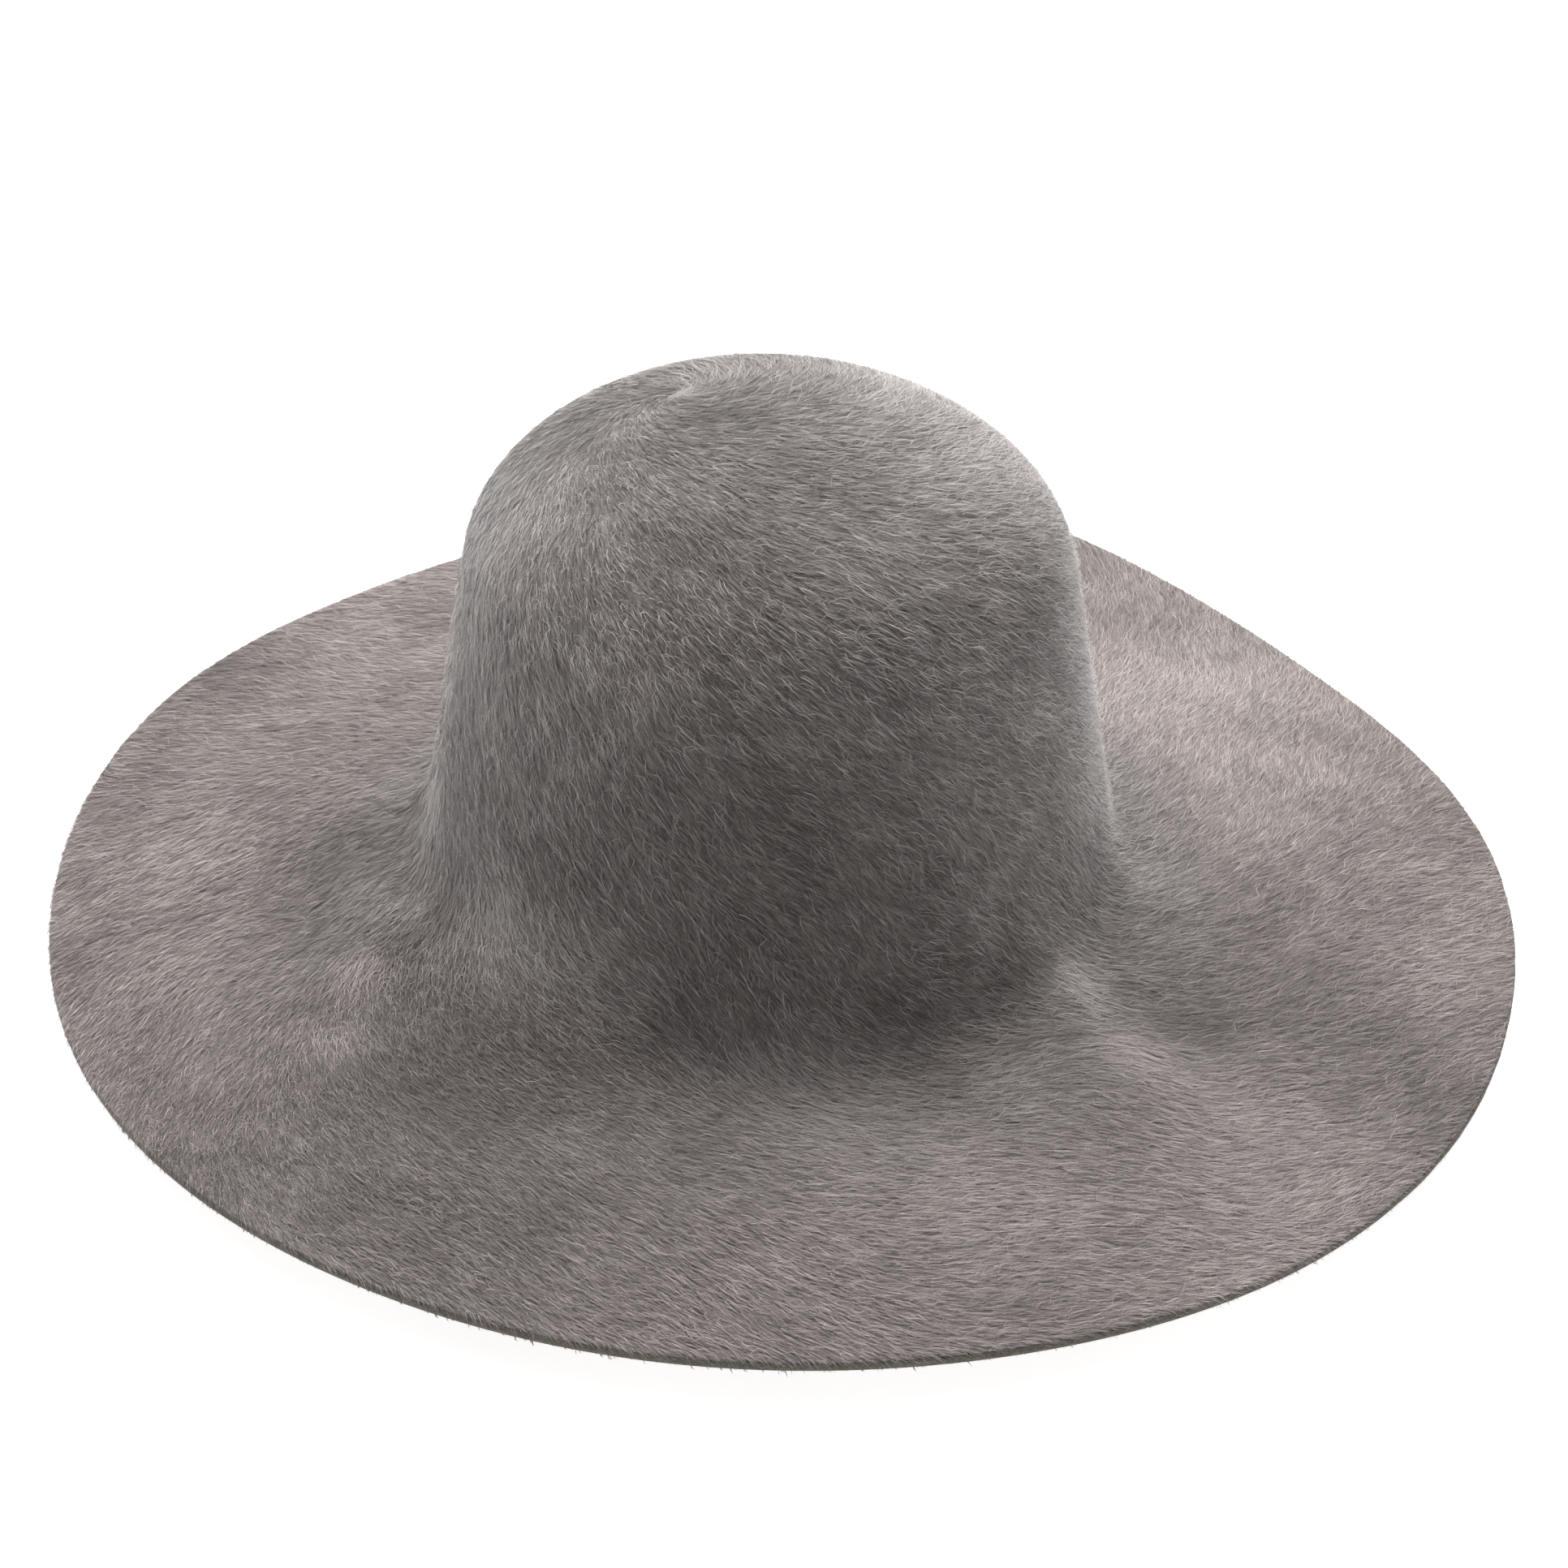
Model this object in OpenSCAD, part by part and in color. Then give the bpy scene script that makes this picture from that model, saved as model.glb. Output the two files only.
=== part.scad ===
// Wide-brimmed hat of long-haired fur felt: one continuous felt crown and brim with a raw cut edge,
// a leather sweatband on a reed, a satin lining in two pieces, a ribbon bow and a blank sewn-in label.
// Z is up, the front of the brim faces -Y, and the hat rests on the lowest points of its brim edge.

/* [Crown] */
// Half width of the crown where its wall line meets the brim
crown_half_w = 92.8; // [88:0.2:98]
// Front-to-back length of the head oval divided by its width
oval = 1.12; // [1.05:0.01:1.2]
// How much the wall leans in for each millimetre of height
wall_taper = 0.17; // [0.1:0.01:0.22]
// Height of the crown above the brim line
crown_h = 124.2; // [118:0.2:132]
// Height at which the straight wall turns into the dome
shoulder_h = 86; // [80:1:90]
// Roundness of the dome: 2 is an ellipse, more is squarer
dome_power = 2.1; // [1.9:0.1:2.6]
// Sideways place of the crown on the brim, left of centre is minus
crown_shift_x = -3.6; // [-5:0.1:0]
// Sideways lean of the dome's top
dome_lean_x = -3.5; // [-5:0.1:0]
// Backward lean of the dome's top
dome_lean_y = 1.3; // [0:0.1:3]

/* [Brim] */
// Width of the brim from the crown line to the cut edge
brim_w = 103.5; // [90:0.5:108]
// Mean drop of the cut edge below the crown line
brim_drop = 9.8; // [6:0.1:12]
// How much wider than the mean the brim is cut at the sides
side_extra = 0.9; // [0:0.1:2]
// Size of the small local folds, 1 is as drawn
fold_scale = 1; // [0:0.1:1.2]
// Height and reach of the soft bend between crown and brim
bend = 14; // [10:1:18]

/* [Felt] */
// Thickness of the pressed felt under its nap
felt_t = 2.4; // [2.2:0.1:3]

/* [Sweatband] */
// Height of the sweatband's lower edge above the crown line
band_low = 17.6; // [17:0.2:19]
// Height of the leather
band_h = 32; // [28:1:36]
// Thickness of the leather
band_t = 1.2; // [0.8:0.1:1.2]
// Width of the butt seam at the back, in degrees
seam_gap = 0.5; // [0.4:0.1:1]
// Radius of the plastic reed in the tape
reed_r = 0.7; // [0.5:0.05:0.7]

/* [Lining] */
// Height of the lining's lower edge, tucked behind the sweatband
lining_low = 28; // [27:1:34]
// Height of the seam between side and tip
lining_seam = 89; // [87:1:91]
// Thickness of the satin with its backing
lining_t = 0.4; // [0.3:0.05:0.4]
// Extra slack of the lining at its seam
lining_slack = 3; // [2:0.5:4]

/* [Label] */
// Width of the blank label
label_w = 26; // [20:1:26]
// Length of the part that hangs free
label_drop = 28; // [22:1:30]
// Thickness of the label ribbon
label_t = 0.4; // [0.3:0.05:0.4]
// Height of the line that the label hangs from
label_h = 68; // [66:1:70]

/* [Hidden] */

angle_step = 5;
round_angles = [0:angle_step:360 - angle_step];

// Long waves of the brim edge: how many round the brim, depth in mm, angle of the lowest place
edge_waves = [[2, 4.6, -7], [3, 1.3, 22], [4, 2.7, 36], [5, 1.9, -28]];
// Short folds in the brim: angle, half width in degrees, place and half width across the brim, height
folds = [[203, 8, 0.1, 0.12, 5], [212, 8, 0.28, 0.13, 6.5], [219, 9, 0.47, 0.12, 3.5],
         [232, 12, 0.26, 0.2, -4], [191, 9, 0.34, 0.14, -3], [172, 12, 0.28, 0.15, -2],
         [322, 7, 0.1, 0.1, 4.5], [315, 8, 0.3, 0.14, 5], [328, 9, 0.3, 0.16, -4],
         [226, 14, 0.83, 0.12, -2.5], [334, 9, 0.8, 0.14, -3], [128, 10, 0.8, 0.2, 1.5]];
// Places where the crown runs out softly into the brim: angle, half width, extra height, extra reach
soft_places = [[232, 20, 16, 26], [184, 18, 16, -5], [318, 9, 10, 16]];

dome_rings = 8;
wall_rings = 3;
bend_rings = 6;
brim_rings = 11;

// Layers inward from the outer felt surface
lining_out = felt_t + 0.3;
backing_out = lining_out + lining_t + 0.25;
band_out = backing_out + 0.65;
band_in = band_out + band_t;
thread_r = 0.25;
gap = 0.14;

// ---- Shape of the felt ----

function turn(a) = (a + 540) % 360 - 180;
function bell(x, width) = exp(-pow(x / width, 2));
function total(list) = list * [for (v = list) 1];
function unit(v) = v / norm(v);

function edge_drop(a) = brim_drop + total([for (w = edge_waves) w[1] * cos(w[0] * (a - w[2]))]);

// A point of the crown at angle a and height h, off millimetres inside the outer surface
function dome_part(h, off) = min(max((h - shoulder_h) / (crown_h - off - shoulder_h), 0), 1);
function closing(h, off) = pow(1 - pow(dome_part(h, off), dome_power), 1 / dome_power);
function crown_point(a, h, off = 0) =
    let (lean = h / crown_h, line = crown_half_w - wall_taper * h, c = closing(h, off))
    [(line - off) * c * cos(a) + crown_shift_x + dome_lean_x * lean,
     (line * oval - off) * c * sin(a) + dome_lean_y * lean,
     brim_drop + h];

// A point of the brim at angle a and fraction s from the crown line to the cut edge
function fold_height(a, s) =
    min(s / 0.08, 1) * total([for (f = folds) f[4] * bell(turn(a - f[0]), f[1]) * bell(s - f[2], f[3])]);
function brim_point(a, s) =
    let (d = edge_drop(a), reach = sqrt(brim_w * brim_w - d * d) + side_extra * cos(2 * a))
    [(crown_half_w + s * reach) * cos(a) + crown_shift_x * (1 - s),
     (crown_half_w * oval + s * reach) * sin(a),
     brim_drop - s * d + fold_scale * fold_height(a, s)];

function bend_height(a) = bend + total([for (p = soft_places) p[2] * bell(turn(a - p[0]), p[1])]);
function bend_reach(a) = (bend + total([for (p = soft_places) p[3] * bell(turn(a - p[0]), p[1])])) / brim_w;
function bend_point(a, t) =
    pow(1 - t, 2) * crown_point(a, bend_height(a)) + 2 * t * (1 - t) * brim_point(a, 0)
    + t * t * brim_point(a, bend_reach(a));

// Rings of the outer surface, from just below the apex to the cut edge
function dome_height(i) = shoulder_h + (crown_h - shoulder_h) * cos(90 * i / dome_rings);
function wall_height(a, i) = shoulder_h + (bend_height(a) - shoulder_h) * i / wall_rings;
function brim_part(a, i) = bend_reach(a) + (1 - bend_reach(a)) * i / brim_rings;
outer_rings = concat(
    [for (i = [1:dome_rings]) [for (a = round_angles) crown_point(a, dome_height(i))]],
    [for (i = [1:wall_rings]) [for (a = round_angles) crown_point(a, wall_height(a, i))]],
    [for (i = [1:bend_rings]) [for (a = round_angles) bend_point(a, i / bend_rings)]],
    [for (i = [1:brim_rings]) [for (a = round_angles) brim_point(a, brim_part(a, i))]]);

ring_count = len(outer_rings);
ring_size = 360 / angle_step;
apex = crown_point(0, crown_h);

// The inner surface lies one felt thickness along the inward normal
function ring_at(i) = outer_rings[max(0, min(ring_count - 1, i))];
function along(i, j) = ring_at(i + 1)[j] - ring_at(i - 1)[j];
function round_way(i, j) =
    outer_rings[i][(j + 1) % ring_size] - outer_rings[i][(j + ring_size - 1) % ring_size];
function inward(i, j) = unit(cross(round_way(i, j), along(i, j)));
inner_rings = [for (i = [0:ring_count - 1])
    [for (j = [0:ring_size - 1]) outer_rings[i][j] + felt_t * inward(i, j)]];

felt_points = concat(
    [apex], [for (ring = outer_rings) each ring],
    [apex - [0, 0, felt_t]], [for (ring = inner_rings) each ring]);

// Moves the hat so that its box is centred on the origin and stands on the ground
low = [for (k = [0:2]) min([for (p = felt_points) p[k]])];
high = [for (k = [0:2]) max([for (p = felt_points) p[k]])];
to_frame = [-(low[0] + high[0]) / 2, -(low[1] + high[1]) / 2, -low[2]];

function index(side, i, j) = side * (1 + ring_count * ring_size) + 1 + i * ring_size + j % ring_size;
function skin(side, flip) = [for (i = [0:ring_count - 2]) for (j = [0:ring_size - 1])
    let (a = index(side, i, j), b = index(side, i, j + 1), c = index(side, i + 1, j + 1),
         d = index(side, i + 1, j))
    each flip ? [[c, b, a], [d, c, a]] : [[a, b, c], [a, c, d]]];
function cap(side, flip) = [for (j = [0:ring_size - 1])
    let (top = side * (1 + ring_count * ring_size), a = index(side, 0, j), b = index(side, 0, j + 1))
    flip ? [top, a, b] : [top, b, a]];
rim = [for (j = [0:ring_size - 1])
    let (a = index(0, ring_count - 1, j), b = index(0, ring_count - 1, j + 1),
         c = index(1, ring_count - 1, j + 1), d = index(1, ring_count - 1, j))
    each [[a, b, c], [a, c, d]]];

// ---- Bands that follow the inside of the crown ----

// Sweeps a closed outline of [depth from the outer felt, height] points round the crown
module swept(outline, from = 0, to = 360) {
    steps = ceil((to - from) / angle_step);
    closed = to - from >= 360;
    n = len(outline);
    stations = closed ? steps - 1 : steps;
    points = [for (i = [0:stations]) for (p = outline)
        crown_point(from + (to - from) * i / steps, p[1], p[0])];
    last = closed ? stations : stations - 1;
    rows = stations + 1;
    sides = [for (i = [0:last]) for (k = [0:n - 1])
        let (a = i * n + k, b = i * n + (k + 1) % n, c = ((i + 1) % rows) * n + (k + 1) % n,
             d = ((i + 1) % rows) * n + k)
        each [[c, b, a], [d, c, a]]];
    start = [for (k = [0:n - 1]) k];
    end = [for (k = [0:n - 1]) stations * n + n - 1 - k];
    translate(to_frame)
        polyhedron(points, closed ? sides : concat(sides, [start, end]));
}

function arc(depth, height, r, from, to, steps) =
    [for (i = [0:steps]) let (a = from + (to - from) * i / steps) [depth + r * cos(a), height + r * sin(a)]];
function slab(depth_out, depth_in, h_low, h_high) =
    [[depth_out, h_low], [depth_in, h_low], [depth_in, h_high], [depth_out, h_high]];

// Puts its children at a place on the inside of the crown, X along the band, -Y away from the wall
module on_band(a, h, depth, tilt = 0) {
    spot = crown_point(a, h, depth) + to_frame;
    ahead = crown_point(a + 1, h, depth) - crown_point(a - 1, h, depth);
    slope = atan(wall_taper * oval);
    translate(spot)
        rotate([0, 0, atan2(ahead[1], ahead[0]) + 180])
            rotate([slope, 0, 0])
                rotate([0, tilt, 0])
                    children();
}

module stitch(length) {
    rotate([0, 90, 0])
        cylinder(r = thread_r, h = length, center = true, $fn = 16);
}

module felt_body() {
    color([0.50, 0.48, 0.465])
        translate(to_frame)
            polyhedron(felt_points, concat(cap(0, false), skin(0, false), cap(1, true), skin(1, true), rim));
}

module sweatband() {
    color([0.33, 0.27, 0.22])
        swept(slab(band_out, band_in, band_low, band_low + band_h), 90 + seam_gap / 2, 450 - seam_gap / 2);
}

// The tape is folded round the reed, with a long leg behind the leather
reed_h = 15;
reed_depth = (band_out + band_in) / 2 - 0.3;
tape_t = 0.3;
tape_r = 1.05;
tape_leg = 24;

module reed_tape() {
    outer = tape_r + tape_t;
    color([0.2, 0.19, 0.19])
        swept(concat(
            [[reed_depth - outer, tape_leg]],
            arc(reed_depth, reed_h, outer, 180, 360, 6),
            [[reed_depth + outer, reed_h + 1], [reed_depth + tape_r, reed_h + 1]],
            arc(reed_depth, reed_h, tape_r, 360, 180, 6),
            [[reed_depth - tape_r, tape_leg]]));
}

reed_end = 0.4;
sleeve_half = 5;

module reed() {
    color([0.85, 0.85, 0.82])
        swept(arc(reed_depth, reed_h, reed_r, 0, 315, 7), 90 + reed_end, 450 - reed_end);
}

module reed_sleeve() {
    color([0.75, 0.75, 0.76])
        swept(concat(
            arc(reed_depth, reed_h, reed_r + 0.3, 105, 435, 12),
            arc(reed_depth, reed_h, reed_r + 0.06, 435, 105, 12)),
            90 - sleeve_half, 90 + sleeve_half);
}

backing_half = 6;

module seam_backing() {
    color([0.28, 0.22, 0.18])
        swept(slab(backing_out, backing_out + 0.4, band_low + 7, band_low + band_h - 2),
            90 - backing_half, 90 + backing_half);
}

seam_stitch_count = 7;
seam_stitch_length = 3.6;

module seam_stitches() {
    color([0.2, 0.18, 0.16])
        for (i = [0:seam_stitch_count - 1])
            on_band(90, band_low + 12 + 2.6 * i, band_in + thread_r + gap, i % 2 == 0 ? 28 : -28)
                stitch(seam_stitch_length);
}

band_stitch_step = 3;
band_stitch_length = 3;

module sweatband_stitches() {
    color([0.2, 0.18, 0.16])
        for (a = [90 + band_stitch_step:band_stitch_step:450 - band_stitch_step])
            on_band(a, band_low + 1.8, band_in + thread_r + gap)
                stitch(band_stitch_length);
}

// The bow lies flat on the sweatband over its seam, in front of the curve of the leather
bow_h = band_low + 7;
bow_half = 13;
ribbon_w = 6;
ribbon_t = 0.4;

// Outline of one loop seen from above, from the knot out to its round end
function loop_line(r, x_in, x_out, y) =
    concat([[x_in, y - 0.5]], arc(x_out - r, y, r, -90, 90, 8), [[x_in, y + 0.5]]);

module bow_loop() {
    difference() {
        polygon(loop_line(1.5, 1.8, bow_half, -3.4));
        polygon(loop_line(1.5 - ribbon_t, 1.2, bow_half - ribbon_t, -3.4));
    }
}

module bow_tail() {
    translate([0, -1.3, 0])
        rotate([90, 0, 0])
            linear_extrude(ribbon_t)
                polygon([[1.9, -1.5], [4.3, 0.4], [9.6, -8.4], [7.6, -8.2], [6.3, -10]]);
}

module bow_ribbon() {
    color([0.22, 0.2, 0.2])
        on_band(90, bow_h, band_in)
            for (side = [0, 1])
                mirror([side, 0, 0]) {
                    translate([0, 0, -ribbon_w / 2])
                        linear_extrude(ribbon_w)
                            bow_loop();
                    bow_tail();
                }
}

module bow_knot() {
    color([0.2, 0.18, 0.18])
        on_band(90, bow_h, band_in)
            translate([0, -0.4, 0])
                rotate([90, 0, 0])
                    linear_extrude(4.6)
                        polygon([[-1.6, -3], [1.6, -3], [1.75, 0], [1.6, 3], [-1.6, 3], [-1.75, 0]]);
}

// ---- Lining ----

lining_rings = 6;
slack_from = band_low + band_h + 1;
function lining_depth(h) = lining_out + lining_slack * max(0, h - slack_from) / (lining_seam - slack_from);
function lining_line(extra, up) = [for (i = [0:lining_rings])
    let (f = i / lining_rings, h = lining_low + (lining_seam - 0.3 - lining_low) * (up ? f : 1 - f))
    [lining_depth(h) + extra, h]];

module lining_side() {
    color([0.62, 0.6, 0.59])
        swept(concat(lining_line(lining_t, true), lining_line(0, false)));
}

tip_depth = lining_out + lining_slack;
tip_rings = 7;
function tip_height(i, off) =
    lining_seam + 0.3 + (crown_h - off - lining_seam - 0.3) * sin(90 * i / tip_rings);
function tip_rows(off) = [for (i = [0:tip_rings - 1])
    [for (a = round_angles) crown_point(a, tip_height(i, off), off)]];

module lining_tip() {
    outside = tip_rows(tip_depth);
    inside = tip_rows(tip_depth + lining_t);
    n = ring_size;
    base = tip_rings * n;
    points = concat([for (r = outside) each r], [crown_point(0, crown_h - tip_depth, tip_depth)],
        [for (r = inside) each r], [crown_point(0, crown_h - tip_depth - lining_t, tip_depth + lining_t)]);
    quads = [for (i = [0:tip_rings - 2]) for (j = [0:n - 1]) [i * n + j, i * n + (j + 1) % n,
        (i + 1) * n + (j + 1) % n, (i + 1) * n + j]];
    outer_faces = concat([for (q = quads) each [[q[2], q[1], q[0]], [q[3], q[2], q[0]]]],
        [for (j = [0:n - 1]) [base, base - n + (j + 1) % n, base - n + j]]);
    inner_faces = [for (f = outer_faces) [f[2] + base + 1, f[1] + base + 1, f[0] + base + 1]];
    hem = [for (j = [0:n - 1]) let (k = (j + 1) % n)
        each [[j, k, k + base + 1], [j, k + base + 1, j + base + 1]]];
    color([0.64, 0.62, 0.61])
        translate(to_frame)
            polyhedron(points, concat(outer_faces, inner_faces, hem));
}

piping_r = 0.8;

module lining_piping() {
    color([0.45, 0.43, 0.42])
        swept(arc(tip_depth + lining_t + piping_r + 0.15, lining_seam, piping_r, 0, 315, 7));
}

// ---- Label ----

label_angle = 180;
hem_h = 6;
hem_half = 8.7;
hem_low = label_h + 0.5;
hem_depth = lining_depth(hem_low + hem_h) + lining_t + 0.15;
label_inset = 1.4;
label_line = crown_point(label_angle, label_h, lining_depth(label_h) + lining_t + label_inset) + to_frame;

module label_hem() {
    color([0.86, 0.85, 0.82])
        swept(slab(hem_depth, hem_depth + label_t, hem_low, hem_low + hem_h),
            label_angle - hem_half, label_angle + hem_half);
}

label_stitch_pitch = 2;
label_stitch_length = 2;

module label_stitches() {
    color([0.25, 0.24, 0.24])
        for (a = [-4:4])
            on_band(label_angle + a * label_stitch_pitch, hem_low + 3.4, hem_depth + label_t + thread_r + gap)
                stitch(label_stitch_length);
}

// The ribbon is folded over at the line it swings from, so its top edge is round
fold_r = 0.35;

module label_flap() {
    color([0.88, 0.87, 0.84])
        translate(label_line) {
            translate([-label_t / 2, -label_w / 2, -label_drop])
                cube([label_t, label_w, label_drop]);
            rotate([90, 0, 0])
                cylinder(r = fold_r, h = label_w, center = true, $fn = 32);
        }
}

felt_body();
sweatband();
reed_tape();
reed();
reed_sleeve();
seam_backing();
seam_stitches();
sweatband_stitches();
bow_ribbon();
bow_knot();
lining_side();
lining_tip();
lining_piping();
label_hem();
label_stitches();
label_flap();
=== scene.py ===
import itertools
import math

import bpy
import numpy as np
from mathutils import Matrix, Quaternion, Vector
from mathutils.bvhtree import BVHTree
from mathutils.kdtree import KDTree


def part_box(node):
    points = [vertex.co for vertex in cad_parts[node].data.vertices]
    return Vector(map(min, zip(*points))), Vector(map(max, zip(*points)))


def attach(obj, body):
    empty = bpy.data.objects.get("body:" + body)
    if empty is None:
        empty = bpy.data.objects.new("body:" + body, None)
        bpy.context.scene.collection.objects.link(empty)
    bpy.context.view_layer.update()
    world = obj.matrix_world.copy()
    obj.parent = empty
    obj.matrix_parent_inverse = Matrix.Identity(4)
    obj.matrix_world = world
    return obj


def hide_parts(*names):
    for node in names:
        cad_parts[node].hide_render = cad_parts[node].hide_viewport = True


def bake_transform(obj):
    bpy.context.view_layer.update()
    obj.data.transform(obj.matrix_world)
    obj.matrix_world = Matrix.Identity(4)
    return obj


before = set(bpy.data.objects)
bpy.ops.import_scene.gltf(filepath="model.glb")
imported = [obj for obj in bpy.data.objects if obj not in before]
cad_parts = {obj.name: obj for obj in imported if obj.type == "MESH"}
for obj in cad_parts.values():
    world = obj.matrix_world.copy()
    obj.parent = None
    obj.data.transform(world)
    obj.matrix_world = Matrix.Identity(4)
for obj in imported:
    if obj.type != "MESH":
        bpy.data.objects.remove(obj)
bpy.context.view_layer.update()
random = np.random.default_rng(46)

MM = 0.001

# ---- Shape of the felt, as in the CAD (mm, degrees)

CROWN_HALF_W = 92.8
OVAL = 1.12
WALL_TAPER = 0.17
CROWN_H = 124.2
SHOULDER_H = 86.0
DOME_POWER = 2.1
CROWN_SHIFT_X = -3.6
DOME_LEAN = (-3.5, 1.3)
BRIM_W = 103.5
BRIM_DROP = 9.8
SIDE_EXTRA = 0.9
BEND = 14.0
FELT_T = 2.4
FOLD_START = 0.08       # share of the brim's width over which folds rise from the wall's foot
# how many round the brim, depth, angle of the lowest place
EDGE_WAVES = [(2, 4.6, -7), (3, 1.3, 22), (4, 2.7, 36), (5, 1.9, -28)]
# angle, half width in degrees, place and half width across the brim, height
FOLDS = [(203, 8, 0.1, 0.12, 5), (212, 8, 0.28, 0.13, 6.5), (219, 9, 0.47, 0.12, 3.5),
         (232, 12, 0.26, 0.2, -4), (191, 9, 0.34, 0.14, -3), (172, 12, 0.28, 0.15, -2),
         (322, 7, 0.1, 0.1, 4.5), (315, 8, 0.3, 0.14, 5), (328, 9, 0.3, 0.16, -4),
         (226, 14, 0.83, 0.12, -2.5), (334, 9, 0.8, 0.14, -3), (128, 10, 0.8, 0.2, 1.5)]
# places where the bend between wall and brim is softer: angle, half width, extra height, extra reach
SOFT_PLACES = [(232, 20, 16, 26), (184, 18, 16, -5), (318, 9, 10, 16)]
# the CAD felt's own grid: degrees between its points, rings on dome, wall, bend and brim
CAD_STEP = 5.0
CAD_RINGS = (8, 3, 6, 11)


def unit(v):
    return v / np.maximum(np.linalg.norm(v, axis=-1, keepdims=True), 1e-12)


def turn(a):
    """Degrees brought to between -180 and 180."""
    return (a + 180) % 360 - 180


def bell(x, width):
    return np.exp(-(x / width) ** 2)


def edge_drop(a):
    return BRIM_DROP + sum(d * np.cos(np.radians(n * (a - low))) for n, d, low in EDGE_WAVES)


def crown_point(a, h, off=0.0):
    """Points of the crown at angle a and height h, off inward from the outer felt."""
    t, lean = np.radians(a), h / CROWN_H
    line = CROWN_HALF_W - WALL_TAPER * h
    part = np.clip((h - SHOULDER_H) / (CROWN_H - off - SHOULDER_H), 0, 1)
    close = (1 - part ** DOME_POWER) ** (1 / DOME_POWER)
    x = (line - off) * close * np.cos(t) + CROWN_SHIFT_X + DOME_LEAN[0] * lean
    y = (line * OVAL - off) * close * np.sin(t) + DOME_LEAN[1] * lean
    return np.stack([x, y, BRIM_DROP + h + 0 * t], -1)


def one_crown_point(a, h, off=0.0):
    return crown_point(np.array([a]), np.array([h]), off)[0]


def fold_height(a, s):
    lift = sum(up * bell(turn(a - at), wide) * bell(s - across, deep)
               for at, wide, across, deep, up in FOLDS)
    return np.minimum(s / FOLD_START, 1) * lift


def brim_point(a, s):
    """Points of the brim at angle a and share s of its width, from 0 at the crown to 1 at the edge."""
    t, d = np.radians(a), edge_drop(a)
    reach = np.sqrt(BRIM_W ** 2 - d ** 2) + SIDE_EXTRA * np.cos(2 * t)
    x = (CROWN_HALF_W + s * reach) * np.cos(t) + CROWN_SHIFT_X * (1 - s)
    y = (CROWN_HALF_W * OVAL + s * reach) * np.sin(t)
    return np.stack([x, y, BRIM_DROP - s * d + fold_height(a, s)], -1)


def bend_size(a):
    """Height up the wall and reach along the brim of the bend between them, at angles a."""
    high = BEND + sum(higher * bell(turn(a - at), wide) for at, wide, higher, _ in SOFT_PLACES)
    out = BEND + sum(further * bell(turn(a - at), wide) for at, wide, _, further in SOFT_PLACES)
    return high, out


def felt_rings(angles, dome, wall, bend, brim, first=1, past_edge=0.0):
    """Rings of points on the outer felt, from just under the apex to the cut edge or past it.

    dome, wall, bend and brim are the numbers of rings on each part. first=0 adds a ring at the
    apex. past_edge is how far the brim runs on, as a share of its width."""
    high, out = bend_size(angles)
    out = out / BRIM_W
    rows = []
    for i in range(first, dome + 1):
        height = SHOULDER_H + (CROWN_H - SHOULDER_H) * math.cos(math.pi / 2 * i / dome)
        rows.append(crown_point(angles, height + 0 * angles))
    for i in range(1, wall + 1):
        rows.append(crown_point(angles, SHOULDER_H + (high - SHOULDER_H) * i / wall))
    top, corner, foot = crown_point(angles, high), brim_point(angles, 0 * angles), brim_point(angles, out)
    for i in range(1, bend + 1):
        f = i / bend
        rows.append(top * (1 - f) ** 2 + corner * 2 * f * (1 - f) + foot * f * f)
    for i in range(1, brim + 1):
        rows.append(brim_point(angles, out + (1 + past_edge - out) * i / brim))
    return np.array(rows)


def shape_origin():
    """Where the shape's origin lies in the frame, in metres, from the box of the CAD felt."""
    low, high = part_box("felt_body")
    edge = felt_rings(np.arange(0, 360, CAD_STEP), *CAD_RINGS)[-1]
    middle = [(low[k] + high[k]) / 2 - (edge[:, k].min() + edge[:, k].max()) / 2 * MM for k in (0, 1)]
    return np.array([*middle, high.z - (BRIM_DROP + CROWN_H) * MM])


TO_FRAME = shape_origin()


def placed(points_mm):
    return points_mm * MM + TO_FRAME


# ---- Materials

def material(name, colour, roughness, **sockets):
    m = bpy.data.materials.new(name)
    m.use_nodes = True
    m.diffuse_color = (*colour, 1)
    shader = m.node_tree.nodes["Principled BSDF"]
    shader.inputs["Base Color"].default_value = (*colour, 1)
    shader.inputs["Roughness"].default_value = roughness
    for socket, value in sockets.items():
        shader.inputs[socket.replace("_", " ")].default_value = value
    return m


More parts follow.
